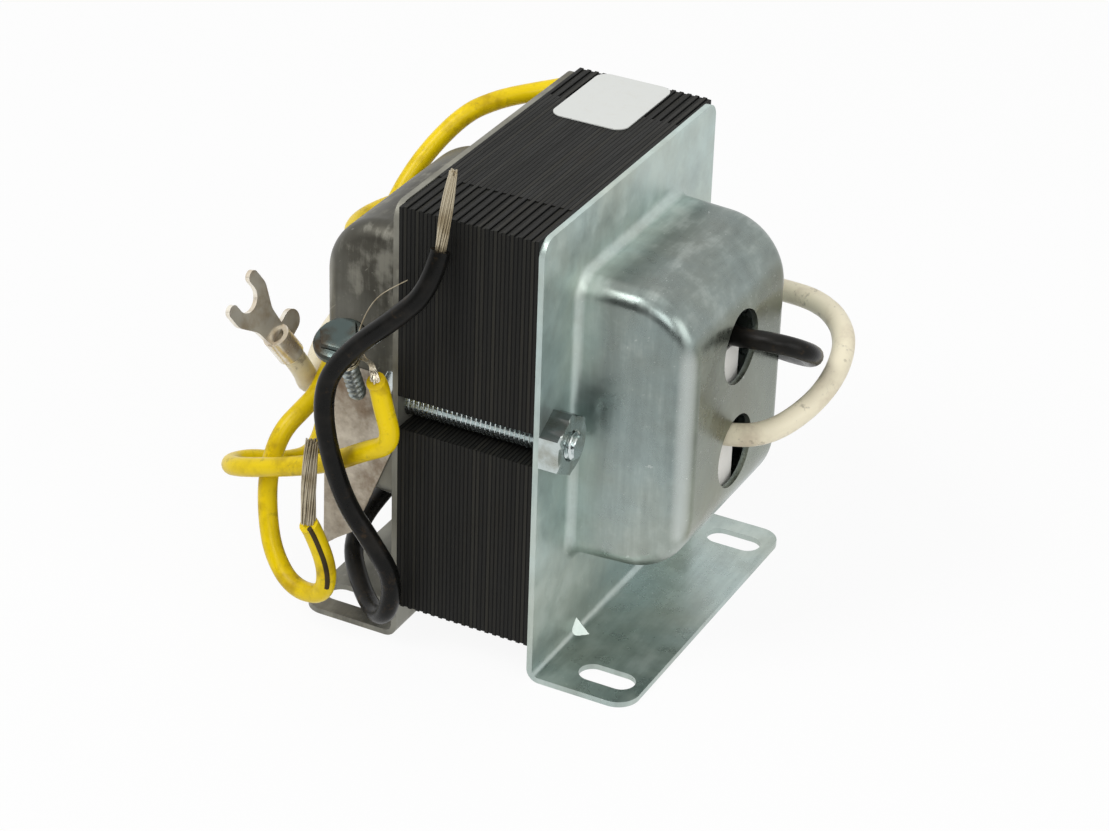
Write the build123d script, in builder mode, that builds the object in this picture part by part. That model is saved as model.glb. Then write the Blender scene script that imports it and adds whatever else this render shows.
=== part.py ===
"""Foot-mounted control transformer with lead wires, in millimetres.

Frame: X runs along the lamination stack from the rear bell to the front bell, Y runs along the
coil's axis, Z is up. The origin is on the surface that the feet stand on, under the core's middle.
"""
import os
from math import cos, pi, radians, sin, tan

from build123d import *

# Core laminations, E and I plates laid alternately both ways round
tongue_width = 22.2
leg_width = 11.1
window_width = 11.1
window_length = 33.3
yoke_width = 11.1
plate_thickness = 0.635
varnish_gap = 0.018
layer_pairs = 17
i_plate_setback = 0.18
butt_gap = 0.05
notch_width = 5.4

# End bells, each one drawn and folded sheet
sheet = 0.9
core_lift = 6.0
dome_height = 46.4
dome_depth = 18.4
dome_end = 10.0
dome_edge = 3.2
dome_draft = 2.0
dome_root = 1.5
flange_corner = 2.5
foot_length = 16.0
foot_corner = 3.5
fold_radius = 1.6
slot_length = 9.0
slot_width = 4.4
slot_from_flange = 9.75
slot_inset = 5.55
lead_hole = 11.5
lead_hole_pitch = 17.5
lead_hole_rise = 0.5
dart_offset = 13.4
dart_leg = 3.2
dart_width = 6.0

# Clamp screws and nuts
screw_diameter = 4.17
screw_hole = 4.6
screw_chamfer = 0.5
head_flats = 6.35
head_height = 2.6
head_washer = 8.8
head_washer_height = 0.8
nut_flats = 8.73
nut_height = 3.18
nut_bore = 4.25
nut_chamfer = 0.5
nut_gap = 0.135
screw_tail = 1.1

# Coil, wound on a tube with paper margins at both ends
former_clearance = 0.25
former_wall = 1.1
former_end_gap = 0.3
former_side_gap = 0.25
winding_gap = 0.1
primary_build = 3.6
barrier = 0.35
secondary_build = 2.6
wrap = 0.3
coil_corner = 2.0
coil_end_gap = 2.65
margin = 2.0
wedge_width = 18.0
wedge_gap = 0.1
pad_length = 17.8
pad_width = 27.0
pad_height = 3.0
pad_split = 0.4
pad_edge = 0.8

# Labels
core_label_length = 17.4
core_label_width = 12.4
core_label_shift = -1.2
core_label_inset = 0.1
core_label_corner = 2.0
label_thickness = 0.15
paper_thickness = 0.25
paper_gap = 0.02
paper_outline = [
    (-15.8, -3.0), (-13.0, -1.4), (-9.2, -1.4), (-6.4, -14.0), (-11.0, -25.2), (-13.4, -30.4), (-16.2, -32.4),
    (-18.6, -34.4), (-18.4, -20.0),
]

# Leads and their bare ends
lead_diameter = 3.0
white_diameter = 3.5
strand_spread = 2.7
strand_depth = 1.3
strand_tip = 0.9
hook_diameter = 1.1
hook_gap = 0.05
hook_drop = 3.0
hook_lead_in = 2.2
hook_way = Vector(6.0, -2.6, 0.0)

# Fork terminal crimped on the white lead
fork_sheet = 0.8
fork_width = 8.6
fork_length = 11.3
fork_slot = 4.4
fork_slot_depth = 4.2
fork_neck = 3.4
fork_waist = 4.6
fork_flare = 3.6
fork_bend = 3.0
fork_corner = 0.95
barrel_length = 4.6
barrel_diameter = 4.3
barrel_bore = 2.6
barrel_bore_depth = 3.4
ear_reach = 5.4
ear_width = 3.6
ear_rise = 3.5
fork_place = (-36.5, -15.9, 36.3)
fork_run = 4.3
fork_axis = Vector(-0.25, -0.5, 0.83).normalized()
fork_across = Vector(0.0, 0.857, 0.515).normalized()

# Terminal screw held by the hooked strands of one yellow lead
terminal_diameter = 2.8
terminal_length = 12.0
terminal_flats = 5.5
terminal_head_height = 1.6
terminal_washer = 8.2
terminal_washer_height = 1.0
terminal_chamfer = 0.5
terminal_gap = 3.0
terminal_axis = Vector(0.0, 0.4, -0.9).normalized()

# Places that follow from the sizes above
layer_pitch = plate_thickness + varnish_gap
stack = 2 * layer_pairs * layer_pitch
core_height = tongue_width + 2 * (window_width + leg_width)
core_depth = window_length + 2 * yoke_width
former_length = window_length - 2 * former_end_gap
coil_length = window_length - 2 * coil_end_gap
dome_width = former_length + 2 * (sheet + former_side_gap)
core_mid = core_lift + core_height / 2
core_top = core_lift + core_height
flange_inner = stack / 2
flange_outer = flange_inner + sheet
sheet_middle = flange_inner + sheet / 2
foot_toe = flange_outer + foot_length
screw_y = dome_width / 2 + dome_root + nut_gap + nut_flats / 2
screw_inset = core_depth / 2 - screw_y
slot_y = core_depth / 2 - slot_inset
slot_x = flange_outer + slot_from_flange
lead_hole_mid = core_mid + lead_hole_rise
former_outer = former_clearance + former_wall
primary_outer = former_outer + winding_gap + primary_build
barrier_outer = primary_outer + barrier
secondary_outer = barrier_outer + secondary_build
wrap_outer = secondary_outer + wrap
winding_length = coil_length - 2 * margin
coil_face = stack / 2 + wrap_outer
pad_face = coil_face + pad_height
wedge_height = window_width - wrap_outer - 2 * wedge_gap
terminal_place = Vector(-22.4, -dome_width / 2 - terminal_washer / 2 - terminal_gap, 45.95)
fork_run_start = tuple(Vector(*fork_place) - fork_axis * fork_run)

# Lead routes, each chosen point by point
black_route = [
    (pad_face, 0.0, 49.9), (29.0, 0.0, 49.9), (37.0, -0.3, 51.0), (40.4, 5.0, 47.5), (34.5, 15.5, 40.5),
    (22.0, 29.0, 33.0), (4.0, 33.5, 26.0), (-15.0, 32.0, 18.0), (-27.0, 22.0, 11.0), (-28.5, 4.0, 8.0),
    (-27.0, -15.0, 6.5), (-19.0, -24.2, 3.2), (-11.7, -30.3, 4.0), (-9.5, -31.0, 12.5), (-12.9, -32.6, 19.6),
    (-15.9, -33.6, 24.6), (-17.6, -34.4, 30.2), (-18.9, -35.0, 36.7), (-19.4, -34.9, 42.3), (-18.5, -34.4, 46.9),
    (-14.6, -33.6, 52.1), (-8.6, -32.6, 57.7), (-4.0, -31.4, 62.8), (-3.4, -29.5, 68.3),
]
white_route = [
    (pad_face, -1.5, 33.9), (28.0, -1.5, 33.9), (35.6, -0.7, 35.5), (39.6, 6.5, 38.2), (40.5, 14.0, 41.2),
    (38.3, 21.0, 43.5), (31.5, 28.0, 43.5), (21.0, 33.0, 41.0), (4.0, 35.0, 39.5), (-15.0, 34.0, 39.0),
    (-30.0, 26.5, 38.5), (-37.0, 11.0, 37.0), (-38.6, -2.0, 33.0), (-36.1, -11.2, 28.1), fork_run_start,
    fork_place,
]
yellow_a_route = [
    (-pad_face, 0.0, 48.5), (-29.5, 0.0, 48.5), (-37.5, 2.0, 48.5), (-38.6, 13.0, 48.0), (-31.0, 26.0, 48.0),
    (-14.0, 34.5, 50.0), (-1.0, 37.0, 56.5), (-4.0, 36.5, 66.0), (-13.0, 35.0, 66.8), (-20.9, 32.0, 64.6),
    (-24.6, 26.6, 64.6), (-27.4, 20.6, 64.2), (-31.6, 14.2, 60.2), (-33.4, 8.2, 51.0), (-33.4, 2.2, 42.4),
    (-33.0, -7.0, 36.4), (-32.0, -14.4, 30.6), (-31.9, -19.6, 30.0), (-33.9, -23.2, 27.0), (-34.6, -25.8, 21.2),
    (-33.6, -27.8, 15.2), (-31.4, -29.8, 9.8), (-26.8, -31.8, 6.2), (-20.6, -33.2, 7.4), (-19.4, -33.6, 12.8),
    (-22.0, -34.4, 20.4),
]
yellow_b_route = [
    (-pad_face, 0.0, 31.0), (-28.5, 0.0, 31.0), (-35.0, -1.4, 28.6), (-36.6, -4.4, 22.0), (-35.6, -10.0, 16.0),
    (-37.8, -16.6, 17.2), (-41.6, -19.4, 18.2), (-43.0, -23.2, 18.9), (-40.0, -27.4, 21.2), (-34.0, -28.9, 23.6),
    (-25.0, -29.6, 27.0), (-19.0, -30.5, 30.3), (-14.9, -31.1, 33.2), (-9.6, -31.6, 36.2), (-11.6, -31.3, 42.2),
    (-12.5, -31.0, 45.8),
]
black_strand_points = [black_route[-1], (-2.9, -29.1, 73.7), (-2.2, -28.4, 80.7)]
yellow_a_strand_points = [yellow_a_route[-1], (-22.6, -34.0, 26.2), (-22.4, -33.0, 34.2)]

os.makedirs("parts", exist_ok=True)


def save(builder, name):
    """Label a finished piece and write it under its node's name."""
    builder.part.label = name
    export_step(builder.part, f"parts/{name}.step")


def layer_places(way):
    """Places of the plates in the stack; every second plate is turned half round about Z."""
    places = []
    for layer in range(2 * layer_pairs):
        turn = 180 * ((layer + way) % 2)
        places.append(Location(((layer - layer_pairs + 0.5) * layer_pitch, 0, 0), (0, 0, turn)))
    return places


# One E plate: yoke on the far side, three limbs, and a notch for the clamp screw
with BuildPart() as e_plate:
    limb_length = window_length - butt_gap
    limb_middle = window_length / 2 - limb_length / 2
    leg_rise = (core_height - leg_width) / 2
    with BuildSketch(Plane.YZ.offset(-plate_thickness / 2)):
        with Locations(((core_depth - yoke_width) / 2, core_mid)):
            Rectangle(yoke_width, core_height)
        with Locations((limb_middle, core_mid)):
            Rectangle(limb_length, tongue_width)
        with Locations((limb_middle, core_mid + leg_rise), (limb_middle, core_mid - leg_rise)):
            Rectangle(limb_length, leg_width)
        with Locations((core_depth / 2 - screw_inset / 2, core_mid)):
            Rectangle(screw_inset, notch_width, mode=Mode.SUBTRACT)
        with Locations((screw_y, core_mid)):
            Circle(notch_width / 2, mode=Mode.SUBTRACT)
    extrude(amount=plate_thickness)

# One I plate, on the far side, stopping short of the E plate's corners
with BuildPart() as i_plate:
    with BuildSketch(Plane.YZ.offset(-plate_thickness / 2)):
        with Locations(((core_depth - yoke_width) / 2, core_mid)):
            Rectangle(yoke_width, core_height - 2 * i_plate_setback)
        with Locations((core_depth / 2 - screw_inset / 2, core_mid)):
            Rectangle(screw_inset, notch_width, mode=Mode.SUBTRACT)
        with Locations((screw_y, core_mid)):
            Circle(notch_width / 2, mode=Mode.SUBTRACT)
    extrude(amount=plate_thickness)

with BuildPart() as e_laminations:
    with Locations(*layer_places(0)):
        add(e_plate.part)
save(e_laminations, "e_laminations")

with BuildPart() as i_laminations:
    with Locations(*layer_places(1)):
        add(i_plate.part)
save(i_laminations, "i_laminations")


def on_dome_root(edge):
    """True for an edge of the dome's outline where it leaves the flange."""
    box = edge.bounding_box()
    flat = abs(box.min.X - flange_outer) < varnish_gap and abs(box.max.X - flange_outer) < varnish_gap
    beside = abs(edge.center().Y) < dome_width / 2 + sheet
    return flat and beside and abs(edge.center().Z - core_mid) < dome_height / 2 + sheet


def dome(start, depth, inset):
    """Drawn box, rounded over to its end above and below, with one radius along both side outlines."""
    with BuildPart() as drawn:
        with BuildSketch(Plane.YZ.offset(start)):
            with Locations((0, core_mid)):
                Rectangle(dome_width - 2 * inset, dome_height - 2 * inset)
        extrude(amount=depth, taper=dome_draft)
        fillet(drawn.faces().sort_by(Axis.X)[-1].edges().filter_by(Axis.Y), dome_end - inset)
        walls = drawn.faces().sort_by(Axis.Y)
        outlines = walls[0].edges() + walls[-1].edges()
        fillet(outlines.filter_by(lambda edge: edge.center().X > start + varnish_gap), dome_edge - inset)
    return drawn.part


def dart(x, z):
    """Corner stiffeners pressed into the fold, as seen with its corner at x, z."""
    for side in (1, -1):
        middle = side * dart_offset
        with BuildSketch(Plane.XY.offset(z)) as base:
            with BuildLine():
                Polyline(
                    (x, middle - dart_width / 2), (x + dart_leg, middle), (x, middle + dart_width / 2), close=True,
                )
            make_face()
        yield base.sketch.face(), Vertex(x, middle, z + dart_leg)


# Front bell: flange and foot folded from one strip, with the dome drawn out of the flange
with BuildPart() as front_bell:
    with BuildSketch(Plane.XZ):
        with BuildLine():
            FilletPolyline(
                (sheet_middle, core_top), (sheet_middle, sheet / 2), (foot_toe, sheet / 2), radius=fold_radius,
            )
        trace(line_width=sheet)
    extrude(amount=core_depth / 2, both=True)
    fillet(front_bell.edges().filter_by(Axis.X).group_by(Axis.Z)[-1], flange_corner)
    fillet(front_bell.edges().filter_by(Axis.Z).group_by(Axis.X)[-1], foot_corner)
    add(dome(sheet_middle, dome_depth + sheet / 2, 0))
    fillet(front_bell.edges().filter_by(on_dome_root), dome_root)
    add(dome(flange_inner, dome_depth, sheet), mode=Mode.SUBTRACT)
    for face, tip in dart(flange_outer - sheet / 2, sheet / 2):
        loft(sections=[face, tip])
    for face, tip in dart(flange_inner, 0):
        loft(sections=[face, tip], mode=Mode.SUBTRACT)
    with BuildSketch(Plane.YZ.offset(flange_outer)):
        with Locations((screw_y, core_mid), (-screw_y, core_mid)):
            Circle(screw_hole / 2)
    extrude(amount=sheet, both=True, mode=Mode.SUBTRACT)
    with BuildSketch(Plane.YZ.offset(flange_outer + dome_depth)):
        with Locations((0, lead_hole_mid)):
            with GridLocations(0, lead_hole_pitch, 1, 2):
                Circle(lead_hole / 2)
    extrude(amount=2 * sheet, both=True, mode=Mode.SUBTRACT)
    with BuildSketch(Plane.XY):
        with Locations((slot_x, slot_y), (slot_x, -slot_y)):
            SlotOverall(slot_length, slot_width)
    extrude(amount=sheet, mode=Mode.SUBTRACT)
save(front_bell, "front_bell")

# Rear bell, the front one turned to face the other way
with BuildPart() as rear_bell:
    mirror(front_bell.part, about=Plane.YZ)
save(rear_bell, "rear_bell")


def ring(inner, outer, length):
    """Square tube round the tongue, between two distances from its faces."""
    with BuildPart() as tube:
        with BuildSketch(Plane.XZ):
            with Locations((0, core_mid)):
                RectangleRounded(stack + 2 * outer, tongue_width + 2 * outer, min(coil_corner, outer / 2))
                if inner > former_clearance:
                    RectangleRounded(
                        stack + 2 * inner, tongue_width + 2 * inner, min(coil_corner, inner / 2), mode=Mode.SUBTRACT,
                    )
                else:
                    Rectangle(stack + 2 * inner, tongue_width + 2 * inner, mode=Mode.SUBTRACT)
        extrude(amount=length / 2, both=True)
    return tube.part


# Tube that the coil is wound on
with BuildPart() as coil_former:
    add(ring(former_clearance, former_outer, former_length))
save(coil_former, "coil_former")

# Windings, each a block of copper and enamel
with BuildPart() as primary_winding:
    add(ring(former_outer + winding_gap, primary_outer, winding_length))
save(primary_winding, "primary_winding")

with BuildPart() as secondary_winding:
    add(ring(barrier_outer, secondary_outer, winding_length))
save(secondary_winding, "secondary_winding")

# Paper between the windings, thickened into margins beyond their ends
with BuildPart() as winding_insulation:
    add(ring(former_outer + winding_gap, secondary_outer, coil_length))
    add(ring(former_outer + winding_gap, secondary_outer, winding_length), mode=Mode.SUBTRACT)
    add(ring(primary_outer, barrier_outer, winding_length))
save(winding_insulation, "winding_insulation")

with BuildPart() as coil_wrap:
    add(ring(secondary_outer, wrap_outer, coil_length))
save(coil_wrap, "coil_wrap")

# Wedges that hold the coil between the core's legs
with BuildPart() as coil_wedges:
    rise = tongue_width / 2 + wrap_outer + wedge_gap + wedge_height / 2
    with Locations((0, 0, core_mid + rise), (0, 0, core_mid - rise)):
        Box(wedge_width, coil_length, wedge_height)
save(coil_wedges, "coil_wedges")


# Folded paper over the joints of the leads, one pad for each lead
with BuildPart() as front_lead_pads:
    pad_rise = (pad_length + pad_split) / 2
    pad_middle = coil_face + pad_height / 2
    with Locations((pad_middle, 0, core_mid + pad_rise), (pad_middle, 0, core_mid - pad_rise)):
        Box(pad_height, pad_width, pad_length)
    fillet(front_lead_pads.edges().filter_by(Axis.X), pad_edge)
save(front_lead_pads, "front_lead_pads")

with BuildPart() as rear_lead_pads:
    mirror(front_lead_pads.part, about=Plane.YZ)
save(rear_lead_pads, "rear_lead_pads")


# Clamp screws through both bells, heads on the rear flange
with BuildPart() as clamp_screws:
    screw_end = flange_outer + nut_height + screw_tail
    for side in (1, -1):
        with BuildSketch(Plane.YZ.offset(-flange_outer)):
            with Locations((side * screw_y, core_mid)):
                Circle(head_washer / 2)
        extrude(amount=-head_washer_height)
        with BuildSketch(Plane.YZ.offset(-flange_outer - head_washer_height)):
            with Locations((side * screw_y, core_mid)):
                RegularPolygon(head_flats / 2, 6, major_radius=False, rotation=30)
        extrude(amount=-head_height)
        with BuildSketch(Plane.YZ.offset(-flange_outer)):
            with Locations((side * screw_y, core_mid)):
                Circle(screw_diameter / 2)
        extrude(amount=flange_outer + screw_end)
    chamfer(clamp_screws.faces().sort_by(Axis.X)[-2:].edges(), screw_chamfer)
save(clamp_screws, "clamp_screws")

with BuildPart() as clamp_nuts:
    nut_places = [(flange_outer + nut_height / 2, side * screw_y, core_mid) for side in (1, -1)]
    with BuildSketch(Plane.YZ.offset(flange_outer)):
        with Locations((screw_y, core_mid), (-screw_y, core_mid)):
            RegularPolygon(nut_flats / 2, 6, major_radius=False, rotation=30)
    extrude(amount=nut_height)
    with BuildPart(mode=Mode.INTERSECT) as nut_round:
        with Locations(*nut_places):
            Cylinder(nut_flats / 2 / cos(pi / 6), nut_height, rotation=(0, 90, 0))
        chamfer(nut_round.edges(), nut_chamfer)
    with Locations(*nut_places):
        Cylinder(nut_bore / 2, nut_height, rotation=(0, 90, 0), mode=Mode.SUBTRACT)
save(clamp_nuts, "clamp_nuts")

# Label on top of the core
with BuildPart() as core_label:
    with BuildSketch(Plane.XY.offset(core_top)):
        with Locations((core_label_shift, core_depth / 2 - core_label_inset - core_label_length / 2)):
            RectangleRounded(core_label_width, core_label_length, core_label_corner)
    extrude(amount=label_thickness)
save(core_label, "core_label")

# Paper label stuck on the near wall of the rear dome, its lower end hanging free
with BuildPart() as paper_label:
    lean = radians(dome_draft)
    wall = Plane(
        origin=(-sheet_middle, -dome_width / 2, core_mid), x_dir=(cos(lean), -sin(lean), 0),
        z_dir=(-sin(lean), -cos(lean), 0),
    )
    with BuildSketch(wall.offset(paper_gap)):
        with BuildLine():
            Polyline(*paper_outline, close=True)
        make_face()
    extrude(amount=paper_thickness)
save(paper_label, "paper_label")


def corner_radii(points):
    """Bend radius at each corner of a route, from the shorter run beside it and the turn."""
    radii = []
    for before, corner, after in zip(points, points[1:], points[2:]):
        run_in = Vector(*corner) - Vector(*before)
        run_out = Vector(*after) - Vector(*corner)
        half_turn = radians(run_in.get_angle(run_out)) / 2
        radii.append(0.45 * min(run_in.length, run_out.length) / tan(half_turn))
    return radii


def tube(points, diameter, name):
    """Round tube along a route, with its corners bent."""
    radii = corner_radii(points)
    with BuildPart() as swept:
        with BuildLine() as path:
            FilletPolyline(*points, radius=radii)
        with BuildSketch(path.line ^ 0):
            Circle(diameter / 2)
        sweep()
    length = path.wire().length
    fullness = swept.part.volume / (pi * diameter**2 / 4 * length)
    print(name, "length", round(length, 1), "radii", [round(r, 1) for r in radii], "fullness", round(fullness, 4))
    return swept.part


# Leads
with BuildPart() as black_lead:
    add(tube(black_route, lead_diameter, "black_lead"))
save(black_lead, "black_lead")

with BuildPart() as white_lead:
    add(tube(white_route, white_diameter, "white_lead"))
save(white_lead, "white_lead")

with BuildPart() as yellow_lead_a:
    add(tube(yellow_a_route, lead_diameter, "yellow_lead_a"))
save(yellow_lead_a, "yellow_lead_a")

with BuildPart() as yellow_lead_b:
    add(tube(yellow_b_route, lead_diameter, "yellow_lead_b"))
save(yellow_lead_b, "yellow_lead_b")


def strands(before, points, sizes):
    """Flattened bundle of bare strands, wide across X, through points that go on from a lead's last run."""
    places = [Vector(*point) for point in points]
    aims = [places[0] - Vector(*before), places[2] - places[0], places[2] - places[1]]
    with BuildPart() as bundle:
        for place, aim, (wide, deep) in zip(places, aims, sizes):
            with BuildSketch(Plane(origin=place, x_dir=Vector(0, 1, 0).cross(aim), z_dir=aim)):
                Ellipse(wide / 2, deep / 2)
        loft()
    return bundle.part


strand_sizes = [
    (strand_depth, strand_depth), (strand_spread, strand_depth), (strand_tip, strand_tip / 2),
]

with BuildPart() as black_lead_strands:
    add(strands(black_route[-2], black_strand_points, strand_sizes))
save(black_lead_strands, "black_lead_strands")

with BuildPart() as yellow_a_strands:
    add(strands(yellow_a_route[-2], yellow_a_strand_points, strand_sizes))
save(yellow_a_strands, "yellow_a_strands")

# Strands of the second yellow lead, hooked round the terminal screw under its head
with BuildPart() as yellow_b_strands:
    hook_radius = terminal_diameter / 2 + hook_gap + hook_diameter / 2
    hook_middle = terminal_place + terminal_axis * hook_drop
    front = Vector(1, 0, 0) * hook_radius
    far = front.cross(terminal_axis)
    lead_end = Vector(*yellow_b_route[-1])
    lead_out = (lead_end - Vector(*yellow_b_route[-2])).normalized()
    hook_points = [
        lead_end, lead_end + lead_out * hook_lead_in, terminal_place + hook_way, hook_middle + front + far,
        hook_middle - front + far, hook_middle - front - far, hook_middle + front / 2 - far,
    ]
    hook_corners = corner_radii([tuple(point) for point in hook_points])
    with BuildLine() as hook_path:
        FilletPolyline(*hook_points, radius=hook_corners)
    with BuildSketch(hook_path.line ^ 0):
        Circle(hook_diameter / 2)
    sweep()
save(yellow_b_strands, "yellow_b_strands")

# Terminal screw
with BuildPart() as terminal_screw:
    seat = Plane(origin=terminal_place, x_dir=(1, 0, 0), z_dir=terminal_axis)
    with BuildSketch(seat):
        Circle(terminal_diameter / 2)
    extrude(amount=terminal_length)
    chamfer(terminal_screw.faces().sort_by(Axis.Z)[0].edges(), terminal_chamfer)
    with BuildSketch(seat):
        Circle(terminal_washer / 2)
    extrude(amount=-terminal_washer_height)
    with BuildSketch(seat.offset(-terminal_washer_height)):
        RegularPolygon(terminal_flats / 2, 6, major_radius=False)
    extrude(amount=-terminal_head_height)
save(terminal_screw, "terminal_screw")

# Fork terminal: barrel on the lead's end, one crimp ear left open, and the forked tongue
with BuildPart() as fork_terminal:
    crimp = Plane(origin=fork_place, x_dir=fork_across, z_dir=fork_axis)
    with BuildSketch(crimp):
        Circle(barrel_diameter / 2)
    extrude(amount=barrel_length)
    flat = Plane(origin=fork_place, x_dir=fork_across, z_dir=fork_across.cross(fork_axis))
    tongue_start = barrel_length / 2
    fork_tip = barrel_length + fork_length
    shoulder = fork_tip - fork_flare
    waist = (barrel_length + shoulder) / 2
    with BuildSketch(flat) as fork_outline:
        with BuildLine():
            Polyline(
                (-fork_neck / 2, tongue_start), (fork_neck / 2, tongue_start), (fork_waist / 2, waist),
                (fork_width / 2, shoulder), (fork_width / 2, fork_tip), (-fork_width / 2, fork_tip),
                (-fork_width / 2, shoulder), (-fork_waist / 2, waist), close=True,
            )
        make_face()
        fillet(fork_outline.vertices().group_by(Axis.Y)[1:3], fork_bend)
        with Locations((0, fork_tip)):
            SlotOverall(2 * fork_slot_depth, fork_slot, rotation=90, mode=Mode.SUBTRACT)
        fillet(fork_outline.vertices().group_by(Axis.Y)[-1], fork_corner)
    extrude(amount=fork_sheet / 2, both=True)
    with BuildSketch(flat):
        with Locations((ear_reach / 2, ear_rise)):
            SlotOverall(ear_reach, ear_width)
    extrude(amount=fork_sheet / 2, both=True)
    with BuildSketch(crimp.offset(barrel_length)):
        Circle(barrel_bore / 2)
    extrude(amount=-barrel_bore_depth, mode=Mode.SUBTRACT)
save(fork_terminal, "fork_terminal")
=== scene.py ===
"""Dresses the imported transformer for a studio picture: finishes, threads, leads, strands and the set."""
import math
import random

import bmesh
import bpy
from bpy.props import FloatProperty, FloatVectorProperty, IntProperty, PointerProperty
from bpy.types import Operator, Panel, PropertyGroup
from mathutils import Matrix, Vector


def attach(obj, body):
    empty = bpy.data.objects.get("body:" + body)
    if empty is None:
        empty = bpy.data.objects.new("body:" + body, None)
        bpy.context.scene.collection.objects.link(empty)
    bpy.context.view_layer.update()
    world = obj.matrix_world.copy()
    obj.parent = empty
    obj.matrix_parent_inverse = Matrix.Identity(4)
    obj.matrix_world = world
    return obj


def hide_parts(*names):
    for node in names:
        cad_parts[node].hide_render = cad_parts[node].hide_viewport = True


bl_info = {
    "name": "Small power transformer",
    "version": (1, 0, 0),
    "blender": (4, 2, 0),
    "location": "View3D > Sidebar > Transformer",
    "description": "Finishes, threads, leads and studio set of a small laminated transformer",
    "category": "Object",
}

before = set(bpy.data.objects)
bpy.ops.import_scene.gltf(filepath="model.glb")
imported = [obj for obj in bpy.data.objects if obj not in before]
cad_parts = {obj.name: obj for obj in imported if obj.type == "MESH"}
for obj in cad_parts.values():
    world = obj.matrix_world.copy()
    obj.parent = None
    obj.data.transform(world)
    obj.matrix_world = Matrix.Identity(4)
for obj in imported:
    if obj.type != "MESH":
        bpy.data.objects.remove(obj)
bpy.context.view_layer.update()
MM = 0.001

# Lead routes, from the coil out to the cut or crimped end, in millimetres
BLACK_ROUTE = [
    (22.401, 0, 49.9), (29, 0, 49.9), (37, -0.3, 51), (40.4, 5, 47.5), (34.5, 15.5, 40.5), (22, 29, 33),
    (4, 33.5, 26), (-15, 32, 18), (-27, 22, 11), (-28.5, 4, 8), (-27, -15, 6.5), (-19, -24.2, 3.2),
    (-11.7, -30.3, 4), (-9.5, -31, 12.5), (-12.9, -32.6, 19.6), (-15.9, -33.6, 24.6), (-17.6, -34.4, 30.2),
    (-18.9, -35, 36.7), (-19.4, -34.9, 42.3), (-18.5, -34.4, 46.9), (-14.6, -33.6, 52.1),
    (-8.6, -32.6, 57.7), (-4, -31.4, 62.8), (-3.4, -29.5, 68.3),
]
WHITE_ROUTE = [
    (22.401, -1.5, 33.9), (28, -1.5, 33.9), (35.6, -0.7, 35.5), (39.6, 6.5, 38.2), (40.5, 14, 41.2),
    (38.3, 21, 43.5), (31.5, 28, 43.5), (21, 33, 41), (4, 35, 39.5), (-15, 34, 39), (-30, 26.5, 38.5),
    (-37, 11, 37), (-38.6, -2, 33), (-36.1, -11.2, 28.1), (-35.43, -13.75, 32.73), (-36.5, -15.9, 36.3),
]
YELLOW_A_ROUTE = [
    (-22.401, 0, 48.5), (-29.5, 0, 48.5), (-37.5, 2, 48.5), (-38.6, 13, 48), (-31, 26, 48), (-14, 34.5, 50),
    (-1, 37, 56.5), (-4, 36.5, 66), (-13, 35, 66.8), (-20.9, 32, 64.6), (-25, 27.2, 64.2),
    (-28.6, 22.2, 62.6), (-33.6, 16.4, 55), (-34.8, 8.6, 47.2), (-33.4, 2.2, 42.4), (-33, -7, 36.4),
    (-32, -14.4, 30.6), (-31.9, -19.6, 30), (-33.9, -23.2, 27), (-34.6, -25.8, 21.2), (-33.6, -27.8, 15.2),
    (-31.4, -29.8, 9.8), (-26.8, -31.8, 6.2), (-20.6, -33.2, 7.4), (-19.4, -33.6, 12.8),
    (-21.8, -34.2, 19.6), (-22, -34.9, 20.6),
]
YELLOW_B_ROUTE = [
    (-22.401, 0, 31), (-28.5, 0, 31), (-35, -1.4, 28.6), (-36.6, -4.4, 22), (-35.6, -10, 16),
    (-37.8, -16.6, 17.2), (-41.6, -19.4, 18.2), (-43, -23.2, 18.9), (-40, -27.4, 21.2), (-34, -28.9, 23.6),
    (-25, -29.6, 27), (-19, -30.5, 30.3), (-14.9, -31.1, 33.2), (-9.6, -31.6, 36.2), (-11.6, -31.3, 42.2),
    (-12.4, -31, 45), (-12.5, -31.7, 45.9),
]

# Lead lengths along those routes, in metres
BLACK_LENGTH = 0.2408
WHITE_LENGTH = 0.1604
YELLOW_A_LENGTH = 0.2158
YELLOW_B_LENGTH = 0.0920

# Bare strands past the insulation, in millimetres
BLACK_STRANDS = [(-2.9, -29.1, 73.7), (-2.2, -28.4, 80.7)]
YELLOW_A_STRANDS = [(-22.6, -34, 26.2), (-22.4, -33, 34.2)]
HOOK_ENTRY = [(-13.0, -31.6, 48.2), (-16.4, -27.2, 45.95)]
LOOSE_STRAND = [
    (-16.4, -27.2, 45.95), (-18.3, -27.6, 48.6), (-17.1, -27.8, 52.5), (-15.5, -28.2, 55.7),
    (-13.7, -28.6, 58.1), (-11.3, -29, 60.2), (-8.7, -29.4, 62.2),
]

# Fans of strands: half width and half depth at three places, the way they face, and their stray
NARROW_FAN = [(0.75, 0.65), (1.25, 0.55), (0.55, 0.4)]
WIDE_FAN = [(1.1, 0.7), (1.45, 0.5), (1.0, 0.4)]
FAN_VIEW = Vector((0.4, -0.75, 0.5))
FRAY = 0.06

# Strands hooked round the screw: spread at three places, and the shank's radius, in millimetres
HOOK_SPREADS = (0.7, 0.36, 0.34)
HOOK_RADIUS = 1.4

# Random draws: the turn from strand to strand, as a part of a full turn, and the seeds
GOLDEN_PART = 0.382
BLACK_SEED = 3
YELLOW_SEED = 8
HOOK_SEED = 5

# Roundness of a cord, in steps, and the loose strand's part of a full strand
CORD_ROUNDING = 6
LOOSE_PART = 0.6

# Painted shade of a slit in a yellow lead, drawn as a thin dark strip: its side, its distance from the middle
# in diameters, and its width in metres
SLIT_WAY = Vector((0.6, -0.8, 0.0))
SLIT_REACH = 0.45
SLIT_WIDTH = 0.0008

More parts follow.
